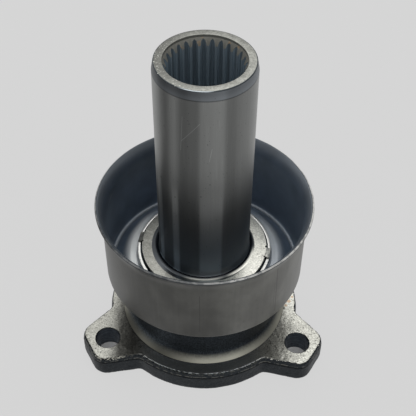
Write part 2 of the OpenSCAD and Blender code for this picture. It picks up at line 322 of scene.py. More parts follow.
def barrelTurning(look):
    b = barrel
    coneLength = (b['mouthRadius'] - spline['tipRadius']) / math.tan(math.radians(b['coneAngle']))
    coneTop = b['mouth'] - b['mouthDepth']
    reliefStep = b['boreRadius'] - spline['tipRadius']
    outline = softened([
        (b['boreRadius'], b['spigotEnd'], b['edgeRounding']),
        (b['spigotRadius'], b['spigotEnd'], b['spigotRounding']),
        (b['spigotRadius'], b['foot'], 0), (b['seatRadius'], b['foot'], b['seatRounding']),
        (b['seatRadius'], b['groove'], 0), (b['shoulderRadius'], b['groove'], 0),
        (b['shoulderRadius'], b['shoulder'], b['edgeRounding']),
        (b['radius'], b['shoulder'], b['footFillet']),
        (b['radius'], b['leadIn'], b['leadInRounding']),
        (b['endRadius'], b['mouth'], b['endRounding']),
        (b['mouthRadius'], b['mouth'], b['mouthRounding']),
        (b['mouthRadius'], coneTop, b['coneRounding']),
        (spline['tipRadius'], coneTop - coneLength, 0),
        (spline['tipRadius'], spline['bottom'] - reliefStep, 0),
        (b['boreRadius'], spline['bottom'] - 2 * reliefStep, b['boreRounding'])])
    piece = latheTurned('barrelTurning', outline)
    joined(piece, splineCutter(), 'DIFFERENCE')
    for number in range(stake['count']):
        bearing = stake['firstAt'] + number * 360 / stake['count']
        joined(piece, stakeTab(bearing, 11 + number))
        for side in (-1, 1):
            joined(piece, stakeCrack(bearing, side, 31 + 2 * number + side), 'DIFFERENCE')
    finished(piece, look, 'barrel')


def onWall(place, normal):
    narrowest = barrel['endRadius'] - 0.1
    return (abs(place.xy.length - barrel['radius']) < barrel['radius'] - narrowest
            and not onShoulder(place, normal) and place.z < barrel['mouth'] - barrel['endRounding'])


def inSplines(place, normal):
    return (place.xy.length < barrel['mouthRadius'] - 0.05
            and place.z < barrel['mouth'] - barrel['mouthDepth'] - 0.2)


def onShoulder(place, normal):
    return place.z < barrel['shoulder'] + barrel['wallStart']


# Dust shield: drawn cup with a flared rim, a sloping floor, a flat seat and a collar

shield = {
    'rimRadius': 44.6,    # all in mm
    'rim': 74.7,
    'wallRadius': 42.05,
    'low': 36.5,
    'sheet': 1.2,
    'flareAngle': 40.0,    # degrees
    'floorSlope': 40.0,    # degrees
    'bottomBend': 1.8,
    'kneeBend': 4.0,
    'collarBend': 1.5,
    'collarTop': 46.5,
    'bendSteps': 9,
    'rimRounding': 0.3,
    'collarRounding': 0.12,
}


def rimEnd():
    flare = math.radians(shield['flareAngle'])
    half = shield['sheet'] / 2
    return Vector((shield['rimRadius'] - half * math.cos(flare),
                   shield['rim'] - half * math.sin(flare)))


# The two faces of a sheet that follows a middle line, as one closed outline
def sheetOutline(line, thickness):
    beside = {1: [], -1: []}
    for number, point in enumerate(line):
        ahead = line[min(number + 1, len(line) - 1)] - line[max(number - 1, 0)]
        across = Vector((-ahead.y, ahead.x)).normalized() * thickness / 2
        for side in beside:
            beside[side].append(point + across * side)
    return beside[1] + beside[-1][::-1]


# Middle line of the sheet: rim, flare, wall, slope, flat seat on the hub and collar
def shieldLine():
    s = shield
    half = s['sheet'] / 2
    flare, slope = math.radians(s['flareAngle']), math.radians(s['floorSlope'])
    wall = s['wallRadius'] - half
    flareRadius = (rimEnd().x - wall) / (1 - math.cos(flare))
    flareMiddle = Vector((wall + flareRadius, rimEnd().y - flareRadius * math.sin(flare)))
    turns = [flare * (1 - k / s['bendSteps']) for k in range(s['bendSteps'] + 1)]
    points = [(flareMiddle.x - flareRadius * math.cos(a), flareMiddle.y + flareRadius * math.sin(a), 0)
              for a in turns]
    bendMiddle = Vector((wall - s['bottomBend'], s['low'] + half + s['bottomBend']))
    seat, collar = barrel['foot'] + half, barrel['seatRadius'] + half
    underBend = bendMiddle.y - s['bottomBend'] / math.cos(slope)
    points += [(wall, underBend - s['bottomBend'] * math.tan(slope), s['bottomBend']),
               (bendMiddle.x - (seat - underBend) / math.tan(slope), seat, s['kneeBend']),
               (collar, seat, s['collarBend']), (collar, s['collarTop'], 0)]
    return softened(points, steps=s['bendSteps'], closed=False)


def sheetOutside(place, normal):
    turnedAway = 0.3
    return normal.z < -turnedAway or (place.xy.length > shield['wallRadius'] - shield['sheet']
                                      and normal.xy.dot(place.xy.normalized()) > turnedAway)


def sheetEdge(place, normal):
    across = Vector((place.xy.length, place.z))
    collarEnd = Vector((barrel['seatRadius'] + shield['sheet'] / 2, shield['collarTop']))
    half = shield['sheet'] / 2
    return (across - rimEnd()).length < half + 0.02 or (across - collarEnd).length < half - 0.01


def dustShieldPressing(look):
    outline = sheetOutline(shieldLine(), shield['sheet'])
    half = len(outline) // 2
    roundings = {0: shield['rimRounding'], 2 * half - 1: shield['rimRounding'],
                 half - 1: shield['collarRounding'], half: shield['collarRounding']}
    corners = [(p.x, p.y, roundings.get(number, 0)) for number, p in enumerate(outline)]
    piece = latheTurned('dustShieldPressing', softened(corners, steps=3))
    finished(piece, look, 'dust_shield', 40)


# Flange: rough forged plate with a turned hub, bored and drilled

flange = {
    'thick': 11.0,    # all in mm
    'voxel': 0.5,
    'boltCircle': 48.0,
    'lugs': 3,
    'holeRadius': 5.3,
    'holeBevel': 0.4,
    'ringRadius': 36.7,
    'ringStep': 0.35,
    'ringBevel': 2.0,
    'hubFillet': 5.0,
    'hubTop': 30.5,
    'hubRounding': 0.4,
    'insert': 34.5,    # radius inside which the plate is replaced by the turned hub
    'insertDepth': 1.0,    # how far the hub's ring reaches below the top of the plate
    'overlap': 2.0,
    'trimFrom': 9.5,    # height over which a sloping face is the trimmed edge
    'trimSlope': 0.88,    # upward share of a normal past which it is the top
}

bore = {
    'pilot': 22.0,    # radii and heights in mm
    'pilotTop': 3.0,
    'pilotBevel': 0.5,
    'bush': 17.0,
    'rounding': 0.3,
    'clip': 17.9,
    'clipLow': 4.5,
    'clipHigh': 5.9,
    'bushTop': 17.9,
    'plug': 16.1,
    'plugTop': 22.3,
}

forging = {
    'roughness': (0.8, 0.14),    # size of the lumps and their height, in mm
    'waves': (7.0, 0.30),
    'edges': (1.3, 0.3),
    'outside': 38.0,    # radius past which a wall is forged
    'holeGap': 0.9,
    'skirt': 1.0,    # below the bolting face, cut off at the end
    'edgeSlope': (0.2, 0.93),    # upward share of the normals along the broken edge
    'edgeDepth': 3.0,
}


def displaced(piece, name, size, height, group=''):
    lumps = bpy.data.textures.new(name, 'CLOUDS')
    lumps.noise_scale = size * mm
    lumps.noise_depth = 2
    return applied(piece, 'DISPLACE', texture=lumps, texture_coords='GLOBAL', strength=height * mm,
                   mid_level=0.75, vertex_group=group)


def holeMiddles():
    turns = [math.pi / 2 + math.tau * k / flange['lugs'] for k in range(flange['lugs'])]
    return [Vector((math.cos(a), math.sin(a))) * flange['boltCircle'] for a in turns]


def forgedOutside(face):
    middle = face.center / mm
    clear = flange['holeRadius'] + forging['holeGap']
    return (abs(face.normal.z) < 0.95 and middle.z < flange['thick']
            and middle.xy.length > forging['outside']
            and all((middle.xy - hole).length > clear for hole in holeMiddles()))


def forgedPlate():
    f = flange
    plate = bpy.data.objects.new('forgedPlate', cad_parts['flange'].data.copy())
    bpy.context.collection.objects.link(plate)
    settled(plate, 'forgedPlate')
    pick(plate, everywhere)
    bpy.ops.mesh.select_all(action='SELECT')
    bpy.ops.mesh.remove_doubles(threshold=mergeWithin * mm)
    endEdit()
    pick(plate, lambda face: not forgedOutside(face), faces=True)
    bpy.ops.mesh.delete(type='FACE')
    endEdit()
    pick(plate, lambda v: v.z > f['thick'] - 0.01)
    bpy.ops.mesh.edge_face_add()
    endEdit()
    pick(plate, lambda v: v.z < 0.01)
    bpy.ops.mesh.extrude_region_move(TRANSFORM_OT_translate={'value': (0, 0, -forging['skirt'] * mm)})
    bpy.ops.mesh.edge_face_add()
    bpy.ops.mesh.select_all(action='SELECT')
    bpy.ops.mesh.normals_make_consistent(inside=False)
    endEdit()
    applied(plate, 'REMESH', mode='VOXEL', voxel_size=f['voxel'] * mm)
    applied(plate, 'SMOOTH', factor=0.5, iterations=3)
    edge = plate.vertex_groups.new(name='edge')
    lowest, highest = forging['edgeSlope']
    oblique = [v.index for v in plate.data.vertices
               if lowest < v.normal.z < highest
               and v.co.z > (f['thick'] - forging['edgeDepth']) * mm]
    edge.add(oblique, 1.0, 'REPLACE')
    displaced(plate, 'scaleWaves', *forging['waves'])
    displaced(plate, 'scaleGrain', *forging['roughness'])
    displaced(plate, 'brokenEdge', *forging['edges'], group='edge')
    return plate


def turnedHub():
    f, b = flange, barrel
    ringTop = f['thick'] + f['ringStep']
    wallFoot = f['ringRadius'] - f['ringBevel'] - f['hubFillet'] * (1 - math.sqrt(0.5))
    below = -1.5
    return latheTurned('turnedHub', softened([
        (f['insert'], below, 0), (f['insert'], f['thick'] - f['insertDepth'], 0),
        (f['ringRadius'], f['thick'] - f['insertDepth'], 0), (f['ringRadius'], ringTop, 0.08),
        (wallFoot, ringTop + f['ringRadius'] - wallFoot, f['hubFillet']),
        (f['hubTop'], b['foot'], f['hubRounding']),
        (b['spigotRadius'], b['foot'], b['edgeRounding']),
        (b['spigotRadius'], b['spigotEnd'], 0), (b['boreRadius'], b['spigotEnd'], 0),
        (b['boreRadius'], bore['plugTop'], 0), (bore['plug'], bore['plugTop'], 0),
        (bore['plug'], bore['bushTop'], 0), (bore['bush'], bore['bushTop'], 0),
        (bore['bush'], bore['clipHigh'], 0), (bore['clip'], bore['clipHigh'], 0),
        (bore['clip'], bore['clipLow'], 0), (bore['bush'], bore['clipLow'], 0),
        (bore['bush'], bore['pilotTop'], bore['rounding']),
        (bore['pilot'], bore['pilotTop'], bore['rounding']),
        (bore['pilot'], bore['pilotBevel'], 0),
        (bore['pilot'] + bore['pilotBevel'] - below, below, 0)]))


def boltHole(number):
    f = flange
    past = f['overlap']
    wide = f['holeRadius'] + f['holeBevel'] + past
    hole = latheTurned('boltHole', [
        (onAxis, -past), (wide, -past), (f['holeRadius'], f['holeBevel']),
        (f['holeRadius'], f['thick'] - f['holeBevel']), (wide, f['thick'] + past),
        (onAxis, f['thick'] + past)], drillSteps)
    hole.location.x = f['boltCircle'] * mm
    return aroundAxis(hole, 90 + number * 360 / f['lugs'])


def flangeForging(look):
    f = flange
    piece = forgedPlate()
    within, low, high = f['insert'] - f['overlap'], -3, 15
    middle = latheTurned('plateMiddle', [(onAxis, low), (within, low), (within, high),
                                         (onAxis, high)], drillSteps)
    joined(piece, middle, 'DIFFERENCE')
    joined(piece, turnedHub())
    for number in range(f['lugs']):
        joined(piece, boltHole(number), 'DIFFERENCE')
    pick(piece, everywhere)
    bpy.ops.mesh.select_all(action='SELECT')
    bpy.ops.mesh.bisect(plane_co=(0, 0, 0), plane_no=(0, 0, 1), use_fill=True, clear_inner=True,
                        threshold=mergeWithin * mm)
    endEdit()
    settled(piece, 'flangeForging')
    finished(piece, look, 'flange', 40)


def offAxis(place):
    return place.xy.length > flange['ringRadius'] - 0.02


def onTop(place, normal):
    return normal.z > flange['trimSlope'] and place.z > flange['trimFrom'] and offAxis(place)


def onEdge(place, normal):
    return 0.3 < normal.z and place.z > flange['trimFrom'] and offAxis(place)


def onHub(place, normal):
    return place.z > flange['thick'] - 0.5 and not offAxis(place)


def machined(place, normal):
    return place.z < 0.3 or (place.xy.length < bore['pilot'] + 1 and place.z < bore['plugTop'] + 0.1)


def inHole(place, normal):
    nearest = min((place.xy - hole).length for hole in holeMiddles())
    return nearest < flange['holeRadius'] + 0.03 and 0.2 < place.z < flange['thick'] - 0.2


# Centring bush: moulded rubber between a steel shell and a chamfered sleeve

bush = {
    'low': 5.9,    # all in mm
    'high': 17.9,
    'shellOuter': 17.0,
    'shellInner': 15.6,
    'sleeveOuter': 10.5,
    'sleeveInner': 8.0,
    'rubberInset': 1.0,
    'sleeveInset': 0.5,
    'hollow': 0.9,
    'hollowWidth': 3.2,
    'hollowFloor': 1.0,
    'sleeveRounding': 0.5,
    'shellRounding': 0.3,
}


def bushPieces(looks):
    b = bush
    low, high = b['low'] + b['rubberInset'], b['high'] - b['rubberInset']
    middle = (b['shellInner'] + b['sleeveOuter']) / 2
    mouth, floor = b['hollowWidth'] / 2, b['hollowFloor'] / 2
    ends = [(b['sleeveOuter'], low, 0), (middle - mouth, low, 0.4),
            (middle - floor, low + b['hollow'], 0.5), (middle + floor, low + b['hollow'], 0.5),
            (middle + mouth, low, 0.4), (b['shellInner'], low, 0)]
    upper = [(radius, low + high - height, rounding) for radius, height, rounding in reversed(ends)]
    rubber = latheTurned('rubberMoulding', softened(ends + upper))
    pieces = [(rubber, 'bush_rubber', 'bush_rubber')]
    for name, part, inset, node, slot in (
            ('bushingSleeve', 'sleeve', b['sleeveInset'], 'bush_sleeve', 'bush_bronze'),
            ('bushingShell', 'shell', 0, 'bush_shell', 'bush_steel')):
        inner, outer, rounding = [b[part + size] for size in ('Inner', 'Outer', 'Rounding')]
        bottom, top = b['low'] + inset, b['high'] - inset
        pieces.append((latheTurned(name, softened([
            (inner, bottom, rounding), (outer, bottom, rounding), (outer, top, rounding),
            (inner, top, rounding)])), node, slot))
    for piece, node, slot in pieces:
        finished(piece, [(looks[node], everywhere)], node)


# Materials

class Wire:
    # A socket that can be used in sums. Each sum adds its own Math node.
    def __init__(self, finish, socket):
        self.finish = finish
        self.socket = socket

    def __add__(self, other):
        return self.finish.maths('ADD', self, other)

    def __radd__(self, other):
        return self.finish.maths('ADD', other, self)

    def __sub__(self, other):
        return self.finish.maths('SUBTRACT', self, other)

    def __rsub__(self, other):
        return self.finish.maths('SUBTRACT', other, self)

    def __mul__(self, other):
        return self.finish.maths('MULTIPLY', self, other)

    def __rmul__(self, other):
        return self.finish.maths('MULTIPLY', other, self)

    def __truediv__(self, other):
        return self.finish.maths('DIVIDE', self, other)


def shaded(colour, share):
    return [v * share for v in colour]


class Finish:
    # The nodes of one material, or of the world, and the wires that most patterns start from
    def __init__(self, name, world=None):
        self.owner = world or bpy.data.materials.new(name)
        self.owner.use_nodes = True
        self.tree = self.owner.node_tree
        self.tree.nodes.clear()
        if world:
            return
        self.place = self.node('TexCoord', out='Object')
        split = self.node('SeparateXYZ', {'Vector': self.place}).socket.node
        self.x, self.y, self.z = [Wire(self, end) / mm for end in split.outputs]
        self.radius = self.maths('SQRT', self.x * self.x + self.y * self.y)
        self.bearing = self.maths('ARCTAN2', self.y, self.x)

    def node(self, kind, sockets=None, out=0, **settings):
        made = self.tree.nodes.new('ShaderNode' + kind)
        for key, value in settings.items():
            setattr(made, key, value)
        for key, value in (sockets or {}).items():
            if isinstance(value, Wire):
                self.tree.links.new(value.socket, made.inputs[key])
            else:
                made.inputs[key].default_value = value
        return Wire(self, made.outputs[out]) if made.outputs else made

    def maths(self, operation, a, b=0.0, clamp=False):
        return self.node('Math', {0: a, 1: b}, operation=operation, use_clamp=clamp)

    # 0 below low, 1 above high, smooth between
    def above(self, value, low, high):
        return self.node('MapRange', {'Value': value, 'From Min': low, 'From Max': high},
                         interpolation_type='SMOOTHSTEP')

    # 1 from low to high, fading out over soft on both sides
    def within(self, value, low, high, soft):
        return self.above(value, low - soft, low) * (1 - self.above(value, high, high + soft))

    # 1 between two bearings, in degrees from the front and positive to the right
    def facing(self, low, high, soft):
        return self.within(self.bearing, math.radians(low - 90), math.radians(high - 90),
                           math.radians(soft))

    # Brightness by place: each row has an axis, its start and end in mm, and what it adds
    def tone(self, base, rows):
        for axis, start, end, gain in rows:
            base = self.above(getattr(self, axis), start, end) * gain + base
        return base

    # 1 along a line between two points of a surface with the coordinates u and v
    def line(self, u, v, start, end, width):
        along = Vector(end) - Vector(start)
        du, dv = u - start[0], v - start[1]
        run = self.maths('ADD', du * (along.x / along.length_squared),
                         dv * (along.y / along.length_squared), clamp=True)
        offU, offV = du - run * along.x, dv - run * along.y
        away = self.maths('SQRT', offU * offU + offV * offV)
        return 1 - self.above(away, width * 0.4, width)

    # Lines on a wall, each between two places (bearing, height), with its width
    def scored(self, lines, radius):
        around = (self.bearing + math.pi / 2) * radius
        perDegree = radius * math.radians(1)
        total = 0
        for start, end, width in lines:
            total = self.line(around, self.z, (start[0] * perDegree, start[1]),
                              (end[0] * perDegree, end[1]), width) + total
        return self.maths('MINIMUM', total, 1.0)

    # 1 in a round patch with a ragged edge
    def spot(self, place, size):
        middle = self.node('VectorMath', {0: self.place, 1: [v * mm for v in place]}, 'Value',
                           operation='DISTANCE') / mm
        ragged = (self.noise(0.8, detail=3) - 0.5) * 1.2
        return 1 - self.above(middle / size + ragged, 0.5, 1)

    def mix(self, share, first, second):
        sockets = {'Factor': share}
        for key, value in ((6, first), (7, second)):
            sockets[key] = value if isinstance(value, Wire) else (*value, 1)
        return self.node('Mix', sockets, 2, data_type='RGBA')

    # A colour darkened or brightened by a share that changes over the surface
    def dimmed(self, colour, share):
        colour = colour if isinstance(colour, Wire) else (*colour, 1)
        grey = self.node('CombineXYZ', {'X': share, 'Y': share, 'Z': share})
        return self.node('Mix', {'Factor': 1.0, 6: colour, 7: grey}, 2, data_type='RGBA',
                         blend_type='MULTIPLY')

    # A shade of a base colour over what is there
    def over(self, colour, share, base, gain):
        return self.mix(share, colour, shaded(base, gain))

    # Two shades of one colour, mixed by a pattern
    def mottled(self, pattern, colour, dark, light, low=0.3, high=0.7):
        return self.mix(self.above(pattern, low, high), shaded(colour, dark), shaded(colour, light))

    # Noise in grains of the given size in mm, stretched along each axis
    def noise(self, size, detail=2.0, stretch=(1, 1, 1), shift=0.0, rough=0.5):
        grains = [1 / (s * size * mm) for s in stretch]
        spread = self.node('VectorMath', {0: self.place, 1: grains}, operation='MULTIPLY')
        moved = self.node('VectorMath', {0: spread, 1: (shift, shift, shift)}, operation='ADD')
        return self.node('TexNoise', {'Vector': moved, 'Scale': 1.0, 'Detail': detail,
                                      'Roughness': rough})

    # Spots and stains, where that noise passes low, and fully where it passes high
    def flecks(self, size, low, high, **noise):
        return self.above(self.noise(size, **noise), low, high)

    def noiseAt(self, x, y, z):
        place = self.node('CombineXYZ', {'X': x, 'Y': y, 'Z': z})
        return self.node('TexNoise', {'Vector': place, 'Scale': 1.0, 'Detail': 2.0})

    # Noise that runs round the axis, as a lathe or a grinding wheel leaves it
    def turned(self, size, across):
        return self.noiseAt(self.maths('COSINE', self.bearing), self.maths('SINE', self.bearing),
                            across / size)

    # Noise that runs along the axis, as drawing or rubbing leaves it
    def drawn(self, size, run, shift=0.0):
        grains = 19 / size    # a radius of 19 mm holds the grains at their size
        return self.noiseAt(self.x / self.radius * grains + shift, self.y / self.radius * grains,
                            self.z / run)

    def bump(self, height, depth):
        return self.node('Bump', {'Height': height, 'Distance': depth * mm, 'Strength': 1.0})

    def shader(self, colour, metallic, roughness, normal=None, **constants):
        sockets = {'Base Color': colour if isinstance(colour, Wire) else (*colour, 1),
                   'Metallic': metallic, 'Roughness': roughness}
        if normal is not None:
            sockets['Normal'] = normal
        for key, value in constants.items():
            sockets[key.replace('_', ' ')] = value
        return self.node('BsdfPrincipled', sockets)

    def coat(self, *surface, **constants):
        return self.ended(self.shader(*surface, **constants))

    def ended(self, shader):
        self.node('OutputMaterial', {'Surface': shader})
        return self.owner


# Finishes of the barrel: ground wall, turned end, dark splines and blasted shoulder.
# Bearings are in degrees from the front, positive to the right, and heights are in mm.

barrelLook = {
    'ground': (0.180, 0.184, 0.180),
    'footTint': (0.160, 0.188, 0.210),    # bluish tint at the foot of the wall
    'footTintFades': (50, 84),    # fades out between these heights
    # painted shade up the middle of the wall, lighter again towards the top
    'wallPaintedShade': (('z', 50, 84, -0.30), ('z', 88, 112, 0.25)),
    'darkWaist': (64, 80, 15, 0.20),    # painted shade: from, to, softness and share
    'streaksAndPaintedHighlights': ((-37, -32, 4, 1.10), (-2, 21, 4, 0.60), (-67, -60, 4, 0.90)),    # painted highlight bands: the same, by bearing
    'paintedHighlightFades': (('z', 82, 100, -1), ('z', 50, 66, -1)),
    'paintedFootHighlight': ((-10, 28, 14), (1.2, 5.5), 0.4),    # painted highlight: bearings, heights over the shoulder, share
    'leadIn': (0.096, 0.105, 0.114),
    # painted light and shade on the lead-in: lighter to the right, darker towards the mouth
    'leadInPaintedShade': (('x', -4, 17, 0.80), ('z', 139.5, 142.0, -0.40)),
    'leadInPaintedHighlight': (-3, 6, 4, 0.35),    # painted highlight: from, to and softness across the front, and share
    'endFace': (0.315, 0.317, 0.290),
    'paintedEdgeShade': (0.050, 0.058, 0.064),
    'glint': (0.620, 0.680, 0.720),
    'glintAt': (-18, 2, 14),
    'toothEnds': (0.205, 0.203, 0.180),
    'splines': (0.120, 0.158, 0.190),
    'shoulder': (0.580, 0.578, 0.525),
    'shoulderGlints': ((-6, 10, 20, 0.7), (40, 75, 15, 1.0)),
    'filletRadius': 21.3,
    'filletWiderLeft': 0.9,
    'rust': (0.420, 0.250, 0.110),
    'scratches': (((-24.6, 120.3), (-4.0, 129.4), 0.16), ((-24.6, 120.3), (-22.7, 131.5), 0.13),
                  ((-24.6, 120.3), (-25.4, 116.0), 0.13), ((6.5, 112.0), (9.5, 118.0), 0.10)),
    'nicks': ((-58.8, 95.8, 0.55), (-34.4, 90.9, 0.4), (-2.4, 94.5, 0.35), (7.5, 100.7, 0.35)),
}


def onCylinder(bearing, height, radius):
    turn = math.radians(bearing)
    return radius * math.sin(turn), -radius * math.cos(turn), height


def groundWall(look):
    f = Finish('groundSteel')
    leadIn = f.above(f.z, barrel['leadIn'] - 0.15, barrel['leadIn'] + 0.15)
    line = f.within(f.z, barrel['leadIn'] - 0.25, barrel['leadIn'] + 0.1, 0.15)
    rubbed = f.drawn(1.2, run=45)
    fine = f.drawn(0.35, run=12, shift=5.0)
    patches = f.noise(5, detail=3, stretch=(1, 1, 2))
    scratched = f.scored(look['scratches'], barrel['radius'])
    nicked = f.flecks(0.6, 0.69, 0.76, stretch=(1, 1, 1.6))
    for bearing, height, size in look['nicks']:
        nicked = f.maths('MAXIMUM', nicked,
                         f.spot(onCylinder(bearing, height, barrel['radius']), size))
    # Painted highlight bands up the wall, strongest at the foot and gone above 100 mm
    streaksAndPaintedHighlights = 0
    for low, high, soft, share in look['streaksAndPaintedHighlights']:
        streaksAndPaintedHighlights = f.facing(low, high, soft) * share + streaksAndPaintedHighlights
    # Painted highlight at the front of the wall's foot, just over the fillet
    glowFacing, (glowLow, glowHigh), glowShare = look['paintedFootHighlight']
    glow = f.facing(*glowFacing) * (1 - f.above(f.z, barrel['shoulder'] + glowLow,
                                                barrel['shoulder'] + glowHigh))
    *waist, waistShare = look['darkWaist']
    *leadInAcross, leadInShare = look['leadInPaintedHighlight']

    colour = f.mix(f.above(rubbed, 0.35, 0.75) * 0.25, look['ground'], shaded(look['ground'], 0.8))
    colour = f.over(colour, f.above(fine, 0.55, 0.75) * 0.18, look['ground'], 1.5)
    colour = f.mix(1 - f.above(f.z, *look['footTintFades']), colour, look['footTint'])
    # Painted shade by height and painted highlight bands by bearing
    colour = f.dimmed(colour, f.tone(1.05, look['wallPaintedShade']) + streaksAndPaintedHighlights * f.tone(2, look['paintedHighlightFades']))
    # Painted shade round the waist of the wall
    colour = f.dimmed(colour, 1 - f.within(f.z, *waist) * waistShare)
    colour = f.over(colour, glow * glowShare, look['ground'], 3.6)
    # The lead-in's slate with its painted light, shade and highlight
    slate = f.dimmed(look['leadIn'], f.tone(0.9, look['leadInPaintedShade'])
                     + f.within(f.x, *leadInAcross) * leadInShare)
    colour = f.mix(leadIn, colour, slate)
    colour = f.over(colour, line * 0.6, look['leadIn'], 0.35)
    colour = f.over(colour, scratched * 0.5, look['ground'], 2.0)
    colour = f.over(colour, nicked * 0.75, look['ground'], 0.2)
    return f.coat(colour, 1 - leadIn * 0.55, 0.30 + patches * 0.06 + leadIn * 0.08,
                  f.bump(rubbed - nicked * 2, 0.004), Anisotropic=0.92, Anisotropic_Rotation=0.25)


def turnedEnd(look):
    f = Finish('turnedEnd')
    inside = 1 - f.above(f.radius, barrel['mouthRadius'] - 0.05, barrel['mouthRadius'] + 0.1)
    rim = f.above(f.z, barrel['mouth'] - 0.32, barrel['mouth'] - 0.2)
    grain = f.noise(0.8, detail=4, rough=0.65)
    patches = f.noise(3, detail=4)
    specks = f.flecks(0.6, 0.60, 0.70, shift=3.0)
    # Bright nicks on the left only: partly wear, partly painted glints
    bright = f.flecks(0.6, 0.63, 0.70, shift=9.0) * (1 - f.above(f.x, -12, 0))
    # Painted shade on the outer rounding of the end, with a painted glint along its front
    edge = f.above(f.radius + (grain - 0.5) * 0.3, 17.95, 18.15)
    glint = f.facing(*look['glintAt']) * f.within(f.radius, 18.18, 18.32, 0.08) \
        * f.above(patches, 0.25, 0.5)
    # Painted shade: the end face darker on the left and towards the back
    side = f.above(f.x + patches * 6, -17, 5) * 0.50 + 0.52
    back = 1 - f.above(f.y, 0, 16) * 0.16

    colour = f.mottled(grain, look['endFace'], 0.72, 1.22)
    colour = f.over(colour, f.above(patches, 0.45, 0.65) * 0.4, look['endFace'], 0.62)
    colour = f.dimmed(colour, side * back)
    colour = f.over(colour, specks * 0.5, look['endFace'], 0.3)
    colour = f.mix(edge, colour, f.mix(glint, look['paintedEdgeShade'], look['glint']))
    colour = f.over(colour, bright * 0.7, look['endFace'], 2.2)
    colour = f.mix(inside, colour, f.mix(rim, look['toothEnds'], shaded(look['toothEnds'], 0.5)))
    return f.coat(colour, 1 - inside * 0.7, 0.34, f.bump(grain + patches * 2, 0.03))


def cutSplines(look):
    f = Finish('cutSplines')
    slope = math.tan(math.radians(barrel['coneAngle']))
    coneTop = barrel['mouth'] - barrel['mouthDepth']
    offCone = f.radius - barrel['mouthRadius'] + (coneTop - f.z) * slope
    toothEnds = f.within(offCone, -0.06, 0.06, 0.03) * f.above(f.z, 138.6, 138.9)
    streaksAndPaintedHighlights = f.drawn(0.5, run=80)
    rusty = f.flecks(2.5, 0.55, 0.68, detail=3, shift=2.0) * f.above(f.y, 6, 10)
    # Painted light and shade on the splines: flanks lighter, spaces between teeth a little darker, the
    # bore lighter further down
    spaces = f.above(f.radius, 14.0, 14.7)
    flanks = f.within(f.radius, 14.1, 14.6, 0.15)
    deep = 1 - f.above(f.z, 116, 136)

    colour = f.mottled(streaksAndPaintedHighlights, look['splines'], 0.8, 1.25, high=0.8)
    colour = f.dimmed(colour, flanks * 0.5 + 0.92 - spaces * 0.12 + deep * 0.35)
    colour = f.mix(toothEnds, colour, f.mix(rusty * 0.6, look['toothEnds'], look['rust']))
    return f.coat(colour, toothEnds * 0.25, 0.42, f.bump(f.noise(0.5), 0.01))


def blastedShoulder(look):
    f = Finish('blastedShoulder')
    grain = f.noise(0.6, detail=4, rough=0.65)
    blotches = f.flecks(2.4, 0.50, 0.66, detail=4, shift=4.0)
    specks = f.flecks(0.7, 0.60, 0.70, shift=7.0)
    # Painted shade in the fillet, reaching wider on the left, with painted highlights along its foot at
    # the front and right
    reach = f.above(0 - f.x, -6, 14) * look['filletWiderLeft']
    fillet = 1 - f.above(f.radius - reach, look['filletRadius'], look['filletRadius'] + 0.5)
    shine = 0
    for low, high, soft, share in look['shoulderGlints']:
        shine = f.facing(low, high, soft) * share + shine
    shine = shine * (1 - f.above(f.z, barrel['shoulder'] + 0.1, barrel['shoulder'] + 0.5))
    # Painted shade below the shoulder, over the groove and seat
    low = 1 - f.above(f.z, barrel['shoulder'] - 1.5, barrel['shoulder'] - 0.7)

    colour = f.mottled(grain, look['shoulder'], 0.72, 1.18)
    colour = f.over(colour, blotches * 0.4, look['shoulder'], 0.5)
    # Painted light and shade: the shoulder lighter to the right, darker to the left
    colour = f.dimmed(colour, f.above(f.x, -25, 12) * 0.68 + 0.50)
    colour = f.over(colour, specks * 0.6, look['shoulder'], 0.3)
    colour = f.mix(fillet, colour, f.mix(shine, shaded(look['leadIn'], 0.6), look['shoulder']))
    colour = f.over(colour, low, look['splines'], 0.15)
    return f.coat(colour, 1.0, 0.32 - fillet * 0.12, f.bump(grain * (1 - fillet), 0.03))


# Finishes of the dust shield: drawn sheet, brown-grey outside and blue-black inside

shieldLook = {
    'outside': (0.080, 0.080, 0.074),
    'outsidePaintedLight': (24, 60, 22),    # the right front, painted lighter
    'inside': (0.108, 0.139, 0.182),
    'insidePaintedLight': (50, 115, 30),
    # colour of the painted highlights on the floor, the flare and the bottom bend
    'floor': (0.780, 0.800, 0.790),
    'edge': (0.620, 0.620, 0.595),
    'drawLines': (((44.2, 67.6), (45.1, 41.0), 0.30), ((-0.7, 64.0), (-0.6, 42.0), 0.20),
                  ((43.0, 60.0), (43.3, 44.0), 0.15)),    # bearing and height, as on the barrel
    'insideScratch': ((164.7, 65.5), (172.1, 64.1), 0.20),    # degrees from +X, mm
}


def outerSheet(look):
    f = Finish('outerSheet')
    blotches = f.noise(10, detail=5, stretch=(1, 1, 1.3), shift=3.0)
    marks = f.flecks(2.2, 0.60, 0.74, detail=4, shift=8.0)
    drawn = f.drawn(0.8, run=60)
    lines = f.scored(look['drawLines'], shield['wallRadius'])
    right = f.facing(*look['outsidePaintedLight'])

    colour = f.mottled(blotches, look['outside'], 0.78, 1.16, low=0.35)
    colour = f.over(colour, f.above(drawn, 0.4, 0.8) * 0.16, look['outside'], 1.6)
    # Painted light at the right front, painted shade at the foot of the wall
    colour = f.dimmed(colour, right * 0.75 + f.above(f.z, 38, 52) * 0.2 + 0.71)
    colour = f.over(colour, marks * 0.22, look['outside'], 0.5)
    colour = f.over(colour, lines * 0.6, look['outside'], 0.35)
    return f.coat(colour, 0.7, 0.34 + blotches * 0.08, f.bump(f.noise(0.4) + drawn * 0.4, 0.004))


